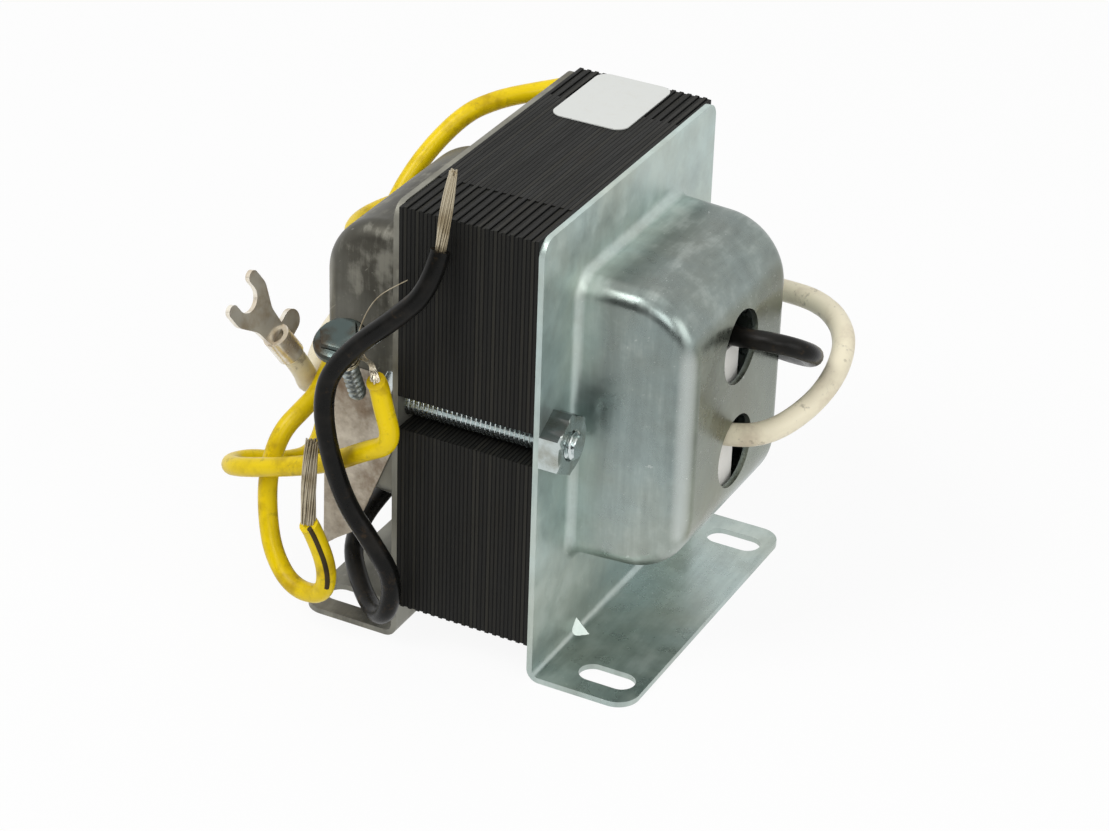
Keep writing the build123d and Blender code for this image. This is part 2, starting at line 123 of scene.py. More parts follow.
# Loose terminal screw: its seat under the head, in millimetres, and the way its thread points
TERMINAL_SEAT = Vector((-22.4, -24.6, 45.95))
TERMINAL_AXIS = Vector((0.0, 0.4, -0.9)).normalized()

# Paper flaps behind the front lead holes: their bent line in plan and their heights, in millimetres
FLAP_LINE = [(22.5, -10.5), (27.6, -9.0), (28.7, -7.5), (28.7, 3.0)]
FLAP_HEIGHTS = [("upper_flap", 39.5, 48.1), ("lower_flap", 23.4, 31.8)]
FLAP_THICKNESS = 0.3

# Where a bell's finish and its painted light and shade change, from and to, in metres: by height, by distance
# out, or by out plus sideways
FOOT_FOLD_HEIGHT = (0.003, 0.008)
# Heights over which the dome's painted shade deepens, in two steps
DOME_LOW_HEIGHT = (0.022, 0.046)
DOME_TOP_HEIGHT = (0.0585, 0.0622)
DOME_ROOT_OUT = (0.0135, 0.0175)
# Where the dome's end face with its painted warm reflection begins
DOME_END_OUT = (0.0292, 0.0303)
# Where the painted highlight along the dome's upright corners lies
DOME_CORNER_SUM = (0.0447, 0.0457)

# Where the painted shade on a lead's lower part gives way to its unshaded upper part, and the winding's
# turns, in metres
LOW_SHADE_HEIGHT = (0.046, 0.06)
TURN_PITCH = 0.0005

# Studio set: lamp places and sizes, in metres, each with the setting for its power
LAMPS = [
    ("key_lamp", (-0.44, -0.58, 0.9), 0.5, "key_power"),
    ("top_lamp", (0.05, 0.25, 1.0), 0.8, "top_power"),
    ("fill_lamp", (0.37, -0.76, 0.56), 0.45, "fill_power"),
    ("side_lamp", (0.9, -0.2, 0.5), 0.6, "side_power"),
]
FLOOR_CORNERS = [(-3.0, -3.0, 0.0), (3.0, -3.0, 0.0), (3.0, 3.0, 0.0), (-3.0, 3.0, 0.0)]
FLOOR_DROP = 0.00005
FLOOR_GLOW = 0.92
FLAG_CORNERS = [(-1.7, -1.4, 0.0), (1.7, -1.4, 0.0), (1.7, -1.4, 0.95), (-1.7, -1.4, 0.95)]
WHITE = (1.0, 1.0, 1.0)


def node(name):
    """Returns the object of one CAD node."""
    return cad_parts[name]


class Socket:
    """A shader socket that Python's operators join to others through Math and Vector Math nodes."""

    def __init__(self, nodes, socket):
        self.nodes = nodes
        self.socket = socket

    def join(self, operation, first, second):
        """Joins two values, through Vector Math where one of them is a colour or vector."""
        sockets = [value.socket.type for value in (first, second) if isinstance(value, Socket)]
        kind = "ShaderNodeMath" if set(sockets) == {"VALUE"} else "ShaderNodeVectorMath"
        return self.nodes.node(kind, {"operation": operation}, {0: first, 1: second})

    def __add__(self, other):
        return self.join("ADD", self, other)

    def __radd__(self, other):
        return self.join("ADD", other, self)

    def __sub__(self, other):
        return self.join("SUBTRACT", self, other)

    def __rsub__(self, other):
        return self.join("SUBTRACT", other, self)

    def __mul__(self, other):
        return self.join("MULTIPLY", self, other)

    def __rmul__(self, other):
        return self.join("MULTIPLY", other, self)

    def __truediv__(self, other):
        return self.join("DIVIDE", self, other)

    def __rtruediv__(self, other):
        return self.join("DIVIDE", other, self)


class Nodes:
    """A shader tree, emptied but for its output, that is written as expressions of sockets."""

    def __init__(self, tree, output):
        tree.nodes.clear()
        self.tree = tree
        self.surface = tree.nodes.new(output).inputs["Surface"]

    def node(self, kind, settings=None, inputs=None, output=0):
        """Adds a node: its settings are set first, then the values or links of its sockets."""
        made = self.tree.nodes.new(kind)
        for name, value in (settings or {}).items():
            setattr(made, name, value)
        for name, value in (inputs or {}).items():
            self.put(made.inputs[name], value)
        return Socket(self, made.outputs[output])

    def put(self, socket, value):
        """Links a socket or sets its value, one number filling a whole vector."""
        if isinstance(value, Socket):
            self.tree.links.new(value.socket, socket)
        elif socket.type == "VECTOR" and isinstance(value, (int, float)):
            socket.default_value = (value, value, value)
        elif socket.type == "RGBA" and len(value) == 3:
            socket.default_value = (*value, 1.0)
        else:
            socket.default_value = value

    def number(self, operation, first, second=0.0):
        """Returns the result of a Math operation that no operator stands for."""
        return self.node("ShaderNodeMath", {"operation": operation}, {0: first, 1: second})


class Finish(Nodes):
    """A surface with one Principled shader."""

    def __init__(self, name):
        self.material = bpy.data.materials.new(name)
        self.material.use_nodes = True
        super().__init__(self.material.node_tree, "ShaderNodeOutputMaterial")
        self.shader = self.tree.nodes.new("ShaderNodeBsdfPrincipled")
        self.shown = Socket(self, self.shader.outputs[0])
        self.put(self.surface, self.shown)
        self.place = self.node("ShaderNodeTexCoord", None, None, "Object")

    def set(self, **inputs):
        """Writes the shader's inputs, with an underscore for each space in a socket's name."""
        for name, value in inputs.items():
            self.put(self.shader.inputs[name.replace("_", " ")], value)

    def axis(self, name):
        """Returns one coordinate of the surface point, in metres."""
        return self.node("ShaderNodeSeparateXYZ", None, {0: self.place}, name)

    def vector(self, x, y, z):
        """Returns three fixed numbers as one vector."""
        return self.node("ShaderNodeCombineXYZ", None, {0: x, 1: y, 2: z})

    def noise(self, scale, detail=3.0, roughness=0.55, vector=None):
        """Returns a soft noise from 0 to 1."""
        inputs = {"Vector": vector or self.place, "Scale": scale, "Detail": detail, "Roughness": roughness}
        return self.node("ShaderNodeTexNoise", None, inputs)

    def between(self, value, low, high, start=0.0, end=1.0):
        """Maps a range of a value to another range, clamped, with eased ends."""
        inputs = {0: value, 1: low, 2: high, 3: start, 4: end}
        return self.node("ShaderNodeMapRange", {"interpolation_type": "SMOOTHSTEP"}, inputs)

    def mix(self, factor, first, second):
        """Mixes two colours."""
        inputs = {0: factor, 6: first, 7: second}
        return self.node("ShaderNodeMix", {"data_type": "RGBA", "clamp_factor": True}, inputs, 2)

    def bump(self, height, strength, depth):
        """Feeds a bump of a depth in metres to the shader's normal."""
        inputs = {"Height": height, "Strength": strength, "Distance": depth}
        self.put(self.shader.inputs["Normal"], self.node("ShaderNodeBump", None, inputs))


def plate_edges(core):
    """Varnished edges of the stacked plates: each plate its own shade, with a dark line between two."""
    finish = Finish("plate_edges")
    along = finish.axis("X") / core.plate_pitch
    index = finish.number("FLOOR", along)
    shade = finish.node("ShaderNodeTexWhiteNoise", {"noise_dimensions": "1D"}, {"W": index})
    middle = finish.number("PINGPONG", finish.number("FRACT", along), 0.5)
    crest = finish.between(middle, 0.06, 0.22)
    streak = finish.noise(90.0, 5.0, 0.6, finish.place * finish.vector(16.0, 1.0, 1.0))
    blotch = finish.noise(120.0, 4.0)
    grain = finish.noise(900.0, 3.0)
    worn = finish.between(streak * 0.6 + shade * 0.55, 0.5, 0.95)
    colour = finish.mix(worn, core.varnish_colour, core.worn_colour)
    colour = finish.mix(finish.between(blotch, 0.58, 0.8) * 0.5, colour, core.brown_colour)
    colour = finish.mix(crest, core.joint_colour, colour)
    rough = finish.between(streak, 0.2, 0.8, 0.46, 0.68)
    finish.set(Base_Color=colour, Roughness=rough, Metallic=worn * 0.15, Specular_IOR_Level=0.13)
    finish.bump(crest + grain * 0.35 + shade * 0.4, 0.8, 0.00012)
    return finish.material


def zinc_sheet(name, colour, stain, worn, wear, roughness):
    """Plated steel sheet: clouded, dulled where it was drawn, scuffed and scratched, with painted light and
    shade: a flange brighter than the foot, a dome darker towards its top, a warm painted reflection on its
    end and a painted highlight along its upright corners.
    """
    finish = Finish(name)
    cloud = finish.noise(34.0, 5.0, 0.6)
    mottle = finish.noise(230.0, 5.0, 0.62)
    grain = finish.noise(1500.0, 2.0)
    drawn = finish.noise(60.0, 5.0, 0.65, finish.place * finish.vector(7.0, 1.0, 0.7))
    slant = {0: finish.place, 4: (0.7, 0.4, 0.9)}
    turned = finish.node("ShaderNodeVectorRotate", {"rotation_type": "EULER_XYZ"}, slant)
    lines = finish.noise(55.0, 2.0, 0.5, turned * finish.vector(1.0, 30.0, 30.0))
    scratch = finish.between(lines, 0.7, 0.76)
    scuff = finish.between(mottle * 0.45 + drawn * 0.35 + cloud * 0.35, 0.58, 0.72) * wear
    out = finish.number("ABSOLUTE", finish.axis("X"))
    side = finish.number("ABSOLUTE", finish.axis("Y"))
    height = finish.axis("Z")
    raised = finish.between(height, *FOOT_FOLD_HEIGHT)
    dome = finish.between(out, *DOME_ROOT_OUT) * raised
    # Painted shade: the dome darker towards its top
    rise = finish.between(height, *DOME_LOW_HEIGHT) * 0.25 + finish.between(height, *DOME_TOP_HEIGHT) * 0.1
    # Mask of the dome's end face, which gets a painted reflection
    end = finish.between(out, *DOME_END_OUT)
    # Painted highlight along the dome's upright corners, between its side walls and its end
    edge = finish.between(out + side, *DOME_CORNER_SUM) * dome
    streaks = mottle * 0.35 + drawn * (0.25 + 0.3 * wear) + cloud * 0.4
    tone = finish.mix(finish.between(cloud, 0.34, 0.66), colour, stain)
    tone = tone * finish.between(streaks, 0.36, 0.68, 0.86 - 0.26 * wear, 1.1 + 0.2 * wear)
    # Painted light and shade: the flange brighter than the foot, the dome darker than both, and darker again
    # up its height
    tone = tone * (1.07 + raised * 0.18 - dome * (rise + 0.37))
    # Painted reflection: a warm, darker tint on the dome's end face
    tone = finish.mix(end * 0.9, tone, tone * finish.vector(0.72, 0.67, 0.56))
    # Real scuffs and scratches lighten the sheet, and a painted highlight lightens the dome's upright corners
    tone = finish.mix(scuff * 0.6 + scratch * 0.35 + edge * 0.6, tone, worn)
    rough = finish.between(cloud * 0.5 + mottle * 0.6, 0.35, 0.75, roughness - 0.08, roughness + 0.1)
    rough = rough + scuff * 0.14 + (raised - dome) * 0.15
    finish.set(Base_Color=tone, Metallic=0.88, Roughness=rough)
    finish.bump(grain * 0.4 + drawn * 0.5 + mottle * 0.4 + scratch * 0.4, 0.35, 0.00006)
    return finish.material


def turned_metal(name, colour, stain, roughness, metallic=0.95, painted_dark_reflection=0.0):
    """Plated or tinned small metal: tone and polish vary, and a painted dark reflection darkens faces that
    look up.
    """
    finish = Finish(name)
    cloud = finish.noise(260.0, 4.0)
    grain = finish.noise(2400.0, 2.0)
    tone = finish.mix(finish.between(cloud, 0.4, 0.68), colour, stain)
    facing = finish.node("ShaderNodeNewGeometry", None, None, "Normal")
    upward = finish.node("ShaderNodeSeparateXYZ", None, {0: facing}, "Z")
    # Painted reflection: faces that look up are darkened
    tone = tone * (1.0 - finish.between(upward, 0.6, 0.82) * painted_dark_reflection)
    rough = finish.between(cloud, 0.3, 0.75, roughness - 0.06, roughness + 0.12)
    finish.set(Base_Color=tone, Metallic=metallic, Roughness=rough)
    finish.bump(grain * 0.6 + cloud * 0.8, 0.25, 0.00003)
    return finish.material


def insulation(name, colour, dirt, roughness, grime, specular=0.32, painted_low_shade=0.0):
    """Plastic wire insulation: drawn skin, cloudy marks, specks of grime, and painted shade darkening it
    below a height.
    """
    finish = Finish(name)
    marks = finish.noise(170.0, 5.0, 0.62)
    skin = finish.noise(1300.0, 3.0)
    specks = finish.between(finish.noise(420.0, 4.0, 0.7), 0.56, 0.72) * grime
    lighter_part = finish.between(finish.axis("Z"), *LOW_SHADE_HEIGHT)
    tone = finish.mix(finish.between(marks, 0.46, 0.74) * 0.75, colour, dirt)
    tone = finish.mix(specks, tone, (0.09, 0.055, 0.025))
    # Painted shade: the lead is darker below a height
    tone = tone * (1.0 - painted_low_shade + lighter_part * painted_low_shade)
    rough = finish.between(marks + skin * 0.25, 0.4, 0.9, roughness - 0.08, roughness + 0.12)
    finish.set(Base_Color=tone, Roughness=rough, Specular_IOR_Level=specular)
    finish.bump(skin * 0.5 + marks, 0.3, 0.00008)
    return finish.material


def paper(name, colour, stain, amount):
    """Paper or board: fibres, soft stains and a matt face."""
    finish = Finish(name)
    stains = finish.noise(75.0, 6.0, 0.68)
    fibres = finish.noise(600.0, 4.0, 0.7, finish.place * finish.vector(1.0, 1.0, 5.0))
    tone = finish.mix(finish.between(stains, 0.62 - amount * 0.3, 0.86 - amount * 0.2), colour, stain)
    tone = finish.mix(finish.between(fibres, 0.5, 0.8) * 0.22, tone, stain)
    finish.set(Base_Color=tone, Roughness=finish.between(stains, 0.3, 0.8, 0.78, 0.62))
    finish.bump(fibres + stains, 0.4, 0.00007)
    return finish.material


def wound_wire(colour, dark):
    """Enamelled copper turns, seen as fine ridges along the coil."""
    finish = Finish("wound_wire")
    turn = finish.number("PINGPONG", finish.axis("Y") / TURN_PITCH, 0.5)
    cloud = finish.noise(150.0)
    tone = finish.mix(finish.between(turn, 0.05, 0.3), dark, colour)
    finish.set(Base_Color=tone, Metallic=0.8, Roughness=finish.between(cloud, 0.3, 0.7, 0.25, 0.4))
    finish.bump(turn + cloud * 0.1, 0.6, 0.0002)
    return finish.material


def plain_grey(name, dark, pale, scale, detail, roughness):
    """Plain grey surface of the set, with a fine grain."""
    finish = Finish(name)
    tone = finish.mix(finish.noise(scale, detail), (dark, dark, dark), (pale, pale, pale))
    finish.set(Base_Color=tone, Roughness=roughness)
    return finish


def cover(name, material):
    """Gives a CAD node one material."""
    for held in node(name).material_slots:
        held.material = material


def mesh_of(name, shape, material):
    """Turns a bmesh into a mesh with one material."""
    mesh = bpy.data.meshes.new(name)
    shape.to_mesh(mesh)
    shape.free()
    mesh.materials.append(material)
    return mesh


def linked(name, data):
    """Returns a new object of the data, in the scene."""
    piece = bpy.data.objects.new(name, data)
    bpy.context.scene.collection.objects.link(piece)
    return piece


def placed(name, shape, place, material, sharp=32):
    """Turns a bmesh into a piece at a place, smooth but for edges sharper than an angle in degrees."""
    shape.transform(place)
    bmesh.ops.recalc_face_normals(shape, faces=shape.faces)
    mesh = mesh_of(name, shape, material)
    mesh.shade_smooth()
    mesh.set_sharp_from_angle(angle=math.radians(sharp))
    piece = linked(name, mesh)
    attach(piece, "root")
    return piece


def polar(reach, turn, height):
    """Returns the point at a reach from Z, a turn in radians and a height."""
    return (reach * math.cos(turn), reach * math.sin(turn), height)


def add_rings(shape, rings, looped=False):
    """Skins rings of points into a solid, capped at both ends or looped back to the first ring."""
    rows = [[shape.verts.new(point) for point in ring] for ring in rings]
    following = rows[1:] + rows[:1] if looped else rows[1:]
    for low, high in zip(rows, following):
        for side in range(len(low)):
            after = (side + 1) % len(low)
            shape.faces.new((low[side], low[after], high[after], high[side]))
    if not looped:
        shape.faces.new(rows[0])
        shape.faces.new(rows[-1])


def add_thread(shape, length, radius, depth, pitch, sides=28, steps=10):
    """Adds a closed screw thread up Z from height 0, with a chamfer at both ends."""
    root_flat = 0.14
    flank = 0.7
    count = int(length / pitch * steps)
    rings = []
    for step in range(count + 1):
        height = length * step / count
        inset = max(0.0, depth * 1.2 - min(height, length - height)) * 0.7
        ring = []
        for side in range(sides):
            turn = side / sides
            wave = abs((height / pitch - turn) % 1.0 - 0.5) * 2
            crest = min(1.0, max(0.0, (wave - root_flat) / flank))
            reach = min(radius - depth + depth * crest, radius - inset)
            ring.append(polar(reach, turn * math.tau, height))
        rings.append(ring)
    add_rings(shape, rings)


def add_turned(shape, outline, sides):
    """Adds a solid turned round Z from (radius, height) pairs, each ring closed."""
    rings = []
    for radius, height in outline:
        rings.append([polar(radius, math.tau * (side / sides), height) for side in range(sides)])
    add_rings(shape, rings)


def add_hex_head(shape, flats, head_height, washer, washer_height):
    """Adds a hexagon head with a rolled washer face, seated at height 0 and reaching down -Z."""
    rim = washer / 2
    edge = 0.15 * MM
    washer_outline = [
        (rim - edge, 0),
        (rim, -edge),
        (rim, -washer_height * 0.6),
        (rim - 0.35 * MM, -washer_height * 0.9),
        (flats * 0.5, -washer_height - 0.12 * MM),
    ]
    add_turned(shape, washer_outline, 48)
    corner = flats / math.sqrt(3)
    top = washer_height + head_height
    head_outline = [
        (corner, -washer_height * 0.8),
        (corner, -top + 0.45 * MM),
        (corner - 0.18 * MM, -top + 0.12 * MM),
        (flats / 2 - edge, -top),
        (flats * 0.3, -top),
    ]
    add_turned(shape, head_outline, 6)


def add_hex_nut(shape, flats, height, bore, sides=72):
    """Adds a nut along Z, its outer corners lightly rounded off and a flat facing along Y."""
    slope = 0.2 * MM
    lip = 0.3 * MM
    outline = [
        (bore / 2, 0.0, False),
        (flats / 2, 0.0, True),
        (flats / 2, height - slope, True),
        (flats / 2, height, False),
        (bore / 2 + lip, height, False),
        (bore / 2, height - lip, False),
    ]
    rings = []
    for radius, rise, hexagon in outline:
        ring = []
        for side in range(sides):
            turn = math.tau * side / sides
            off = abs(turn % (math.pi / 3) - math.pi / 6)
            reach = radius / math.cos(off) if hexagon else radius
            ring.append(polar(reach, turn, rise))
        rings.append(ring)
    add_rings(shape, rings, looped=True)


def bent_sheet(name, line, low, high, thickness, material):
    """Makes an upright sheet along a bent line in plan, between two heights, in millimetres."""
    rows = []
    for x, y in line:
        back = x - thickness
        rows.append([(x, y, low), (x, y, high), (back, y, high), (back, y, low)])
    shape = bmesh.new()
    add_rings(shape, rows)
    return placed(name, shape, Matrix.Scale(MM, 4), material)


def wires(name, routes, diameter, material, rounding=2):
    """Makes round wires in one piece, each on a smooth line that follows a route in millimetres."""
    line = bpy.data.curves.new(name, "CURVE")
    line.dimensions = "3D"
    line.resolution_u = 10
    line.bevel_depth = diameter / 2
    line.bevel_resolution = rounding
    line.use_fill_caps = True
    for route in routes:
        spline = line.splines.new("NURBS")
        spline.points.add(len(route) - 1)
        for point, place in zip(spline.points, route):
            point.co = (place[0] * MM, place[1] * MM, place[2] * MM, 1.0)
        spline.order_u = 3
        spline.use_endpoint_u = True
    line.materials.append(material)
    piece = linked(name, line)
    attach(piece, "root")
    return piece


def fanned_strands(route, fan, count, seed):
    """Returns the routes of bare strands: bunched at the insulation, fanned out and frayed to the tip."""
    chance = random.Random(seed)
    places = [Vector(place) for place in route]
    ahead = (places[-1] - places[0]).normalized()
    side = ahead.cross(FAN_VIEW).normalized()
    depth = ahead.cross(side)
    routes = []
    for strand in range(count):
        reach = math.sqrt((strand + 0.5) / count)
        tip = places[-1].lerp(places[-2], chance.uniform(0.0, 0.16))
        points = []
        for index, (place, (wide, deep)) in enumerate(zip(places[:-1] + [tip], fan)):
            twist = math.tau * strand * GOLDEN_PART + 0.5 * index
            offset = side * (math.cos(twist) * wide * reach + chance.uniform(-FRAY, FRAY))
            offset += depth * (math.sin(twist) * deep * reach + chance.uniform(-FRAY, FRAY))
            points.append(place + offset)
        routes.append(points)
    return routes


def hooked_strands(entry, seat, along, radius, count, seed):
    """Returns the routes of bare strands that leave a lead's end and wind round a screw's shank."""
    chance = random.Random(seed)
    across = Vector((1, 0, 0))
    away = across.cross(along)
    routes = []
    for strand in range(count):
        turn = math.tau * strand * GOLDEN_PART
        reach = math.sqrt((strand + 0.5) / count)
        points = []
        for place, spread in zip(entry, HOOK_SPREADS):
            offset = Vector((math.cos(turn), math.sin(turn), chance.uniform(-0.3, 0.3))) * spread * reach
            points.append(Vector(place) + offset)
        out = radius + chance.uniform(0.12, 0.5)
        drop = chance.uniform(2.1, 3.5)
        for step in range(chance.randint(5, 13)):
            angle = math.radians(25 + 45 * step)
            ring = (across * math.cos(angle) + away * math.sin(angle)) * out * 1.05
            points.append(seat + along * (drop + 0.1 * step) + ring)
        routes.append(points)
    return routes


def number_prop(label, text, value, unit="NONE"):
    """Declares a number."""
    return FloatProperty(name=label, description=text, default=value, unit=unit)


def length_prop(label, text, value):
    """Declares a length in metres."""
    return FloatProperty(name=label, description=text, default=value, unit="LENGTH", precision=5)


def colour_prop(label, text, value):
    """Declares a colour."""
    return FloatVectorProperty(name=label, description=text, default=value, subtype="COLOR", min=0.0, max=1.0)


class CoreLook(PropertyGroup):
    """Look of the laminated core."""

    plate_pitch: length_prop("Plate pitch", "Thickness of a plate with its varnish", 0.000653)
    varnish_colour: colour_prop("Varnish", "Baked varnish on the plate edges", (0.0138, 0.0138, 0.0122))
    worn_colour: colour_prop("Worn edge", "Plate edge where the varnish is thin", (0.029, 0.028, 0.023))
    brown_colour: colour_prop("Brown tint", "Varnish pooled on the edges", (0.017, 0.0135, 0.009))
    joint_colour: colour_prop("Joint", "Dark line between two plates", (0.003, 0.003, 0.003))


class SheetLook(PropertyGroup):
    """Look of the two end bells."""

    front_colour: colour_prop("Front zinc", "Bright plated sheet", (0.385, 0.465, 0.45))
    front_stain: colour_prop("Front clouding", "Clouds in the plating", (0.345, 0.385, 0.345))
    # The front scuff colour also paints the highlight along the dome's upright corners
    front_scuffs_and_highlight: colour_prop("Front scuffs", "Rubbed spots in the plating", (0.64, 0.68, 0.65))
    rear_colour: colour_prop("Rear zinc", "Duller plated sheet", (0.21, 0.208, 0.18))
    rear_stain: colour_prop("Rear clouding", "Clouds in the dull plating", (0.095, 0.09, 0.073))
    # The rear scuff colour also paints the highlight along the dome's upright corners
    rear_scuffs_and_highlight: colour_prop("Rear scuffs", "Rubbed spots in the dull plating", (0.42, 0.41, 0.35))


class HardwareSizes(PropertyGroup):
    """Sizes of the clamp screws and nuts."""

    screw_diameter: length_prop("Screw", "Diameter over the thread of a clamp screw", 0.00417)
    pitch: length_prop("Pitch", "Thread pitch", 0.000794)
    thread_depth: length_prop("Thread depth", "Depth of the thread", 0.00045)
    flats: length_prop("Head flats", "Width across the flats of a screw head", 0.00635)
    head_height: length_prop("Head height", "Height of the hexagon above its washer face", 0.0026)
    washer: length_prop("Washer face", "Diameter of the washer face", 0.0088)
    washer_height: length_prop("Washer height", "Thickness of the washer face", 0.0008)
    nut_flats: length_prop("Nut flats", "Width across the flats of a nut", 0.00873)
    nut_height: length_prop("Nut height", "Height of a nut", 0.00318)
    nut_bore: length_prop("Nut bore", "Bore of a nut", 0.00425)
    seat: length_prop("Seat", "Outer face of a flange from the middle of the core", 0.012001)
    tail: length_prop("Screw end", "End of a clamp screw from the middle of the core", 0.016281)
    half_spacing: length_prop("Half spacing", "Clamp screw from the middle of the core", 0.0235)
    height: length_prop("Height", "Clamp screws above the floor", 0.0393)


class TerminalSizes(PropertyGroup):
    """Sizes of the loose terminal screw."""

    diameter: length_prop("Screw", "Diameter over the thread", 0.0028)
    length: length_prop("Length", "Length under the head", 0.012)
    pitch: length_prop("Pitch", "Thread pitch", 0.0011)
    thread_depth: length_prop("Thread depth", "Depth of the thread", 0.00042)
    flats: length_prop("Head flats", "Width across the flats", 0.0055)
    head_height: length_prop("Head height", "Height of the hexagon", 0.0011)
    washer: length_prop("Washer face", "Diameter of the washer face", 0.0082)
    washer_height: length_prop("Washer height", "Thickness of the washer face", 0.0015)


class LeadLook(PropertyGroup):
    """Sizes and colours of the leads."""

    diameter: length_prop("Lead", "Diameter of the black and yellow leads", 0.003)
    white_diameter: length_prop("White lead", "Diameter of the white lead", 0.0035)
    strand: length_prop("Strand", "Diameter of one bare strand", 0.00026)
    strands: IntProperty(name="Strands", description="Strands in a lead", default=26, min=7, max=41)
    black: colour_prop("Black", "Black insulation", (0.005, 0.005, 0.0045))
    white: colour_prop("White", "White insulation", (0.86, 0.79, 0.6))
    yellow: colour_prop("Yellow", "Yellow insulation", (0.92, 0.67, 0.002))


class StudioSet(PropertyGroup):
    """Camera and light of the picture."""

    azimuth: number_prop("Azimuth", "Camera turn, in degrees", 26.571)
    elevation: number_prop("Elevation", "Camera height angle, in degrees", 29.81)
    roll: number_prop("Roll", "Camera roll, in degrees", 1.967)
    distance: length_prop("Distance", "Camera from the aim", 0.506304)
    aim: FloatVectorProperty(name="Aim", description="Point aimed at", default=(0, 0, 0.036), subtype="XYZ")
    shift: FloatVectorProperty(
        name="Shift", description="Camera moved sideways and up", default=(0.000166, -0.006767), size=2
    )
    lens: number_prop("Lens", "Focal length in millimetres on a 36 mm sensor", 109.14)
    key_power: number_prop("Key power", "Power of the main lamp", 6.0, "POWER")
    top_power: number_prop("Top power", "Power of the lamp above", 1.0, "POWER")
    fill_power: number_prop("Fill power", "Power of the lamp behind the camera", 2.1, "POWER")
    side_power: number_prop("Side power", "Power of the side lamp", 2.4, "POWER")
    sky: number_prop("Sky", "Strength of the even light", 0.42)


class TRANSFORMER_OT_core(Operator):
    """Finish the stacked plates of the core"""

    bl_idname = "transformer.core"
    bl_label = "Core"

    def execute(self, context):
        material = plate_edges(context.scene.transformer_core)
        cover("e_laminations", material)
        cover("i_laminations", material)
        return {"FINISHED"}


class TRANSFORMER_OT_bells(Operator):
    """Finish the two drawn end bells"""

    bl_idname = "transformer.bells"
    bl_label = "End bells"

    def execute(self, context):
        sheet = context.scene.transformer_sheet
        front = (sheet.front_colour, sheet.front_stain, sheet.front_scuffs_and_highlight)
        rear = (sheet.rear_colour, sheet.rear_stain, sheet.rear_scuffs_and_highlight)
        cover("front_bell", zinc_sheet("bright_sheet", *front, wear=0.4, roughness=0.29))
        cover("rear_bell", zinc_sheet("dull_sheet", *rear, wear=1.0, roughness=0.46))
        return {"FINISHED"}


class TRANSFORMER_OT_coil(Operator):
    """Finish the coil, its insulation and the lead pads"""

    bl_idname = "transformer.coil"
    bl_label = "Coil"

    def execute(self, context):
        board = paper("fibre_board", (0.3, 0.22, 0.13), (0.16, 0.1, 0.05), 0.4)
        wrap = paper("coil_paper", (0.82, 0.81, 0.77), (0.6, 0.55, 0.46), 0.2)
        wire = wound_wire((0.5, 0.2, 0.08), (0.12, 0.04, 0.02))
        for name in ("coil_former", "coil_wedges"):
            cover(name, board)
        for name in ("winding_insulation", "coil_wrap", "front_lead_pads", "rear_lead_pads"):
            cover(name, wrap)
        for name in ("primary_winding", "secondary_winding"):
            cover(name, wire)
        for name, low, high in FLAP_HEIGHTS:
            flap = bent_sheet(name, FLAP_LINE, low, high, FLAP_THICKNESS, wrap)
        return {"FINISHED"}


class TRANSFORMER_OT_clamps(Operator):
    """Build the threaded clamp screws and their nuts"""

    bl_idname = "transformer.clamps"
    bl_label = "Clamp screws and nuts"

    def execute(self, context):
        sizes = context.scene.transformer_hardware
        zinc = turned_metal("bright_zinc", (0.6, 0.66, 0.66), (0.46, 0.47, 0.42), 0.17)
        length = sizes.tail + sizes.seat
        for label, side in (("near_clamp_screw", -1), ("far_clamp_screw", 1)):
            shape = bmesh.new()
            add_thread(shape, length, sizes.screw_diameter / 2, sizes.thread_depth, sizes.pitch)
            add_hex_head(shape, sizes.flats, sizes.head_height, sizes.washer, sizes.washer_height)
            piece = placed(label, shape, self.seat(sizes, -sizes.seat, side), zinc)
            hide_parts("clamp_screws")
        # The nuts get a painted dark reflection on their upper facets
        shaded_nut_zinc = turned_metal("nut_zinc", (0.52, 0.58, 0.57), (0.36, 0.38, 0.34), 0.18, painted_dark_reflection=0.8)
        for label, side in (("near_clamp_nut", -1), ("far_clamp_nut", 1)):
            shape = bmesh.new()
            add_hex_nut(shape, sizes.nut_flats, sizes.nut_height, sizes.nut_bore)
            piece = placed(label, shape, self.seat(sizes, sizes.seat, side), shaded_nut_zinc)
            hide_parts("clamp_nuts")
        return {"FINISHED"}

    def seat(self, sizes, out, side):
        """Returns the place of a screw or nut on a flange, with its Z turned to X."""
        middle = Matrix.Translation((out, side * sizes.half_spacing, sizes.height))
        return middle @ Matrix.Rotation(math.radians(90), 4, "Y")


class TRANSFORMER_OT_labels(Operator):
    """Finish the bare label and the stained paper tag"""

    bl_idname = "transformer.labels"
    bl_label = "Labels"

    def execute(self, context):
        cover("core_label", paper("label_white", (0.7, 0.715, 0.69), (0.6, 0.57, 0.5), 0.0))
        cover("paper_label", paper("stained_paper", (0.72, 0.67, 0.58), (0.19, 0.13, 0.08), 0.85))
        return {"FINISHED"}


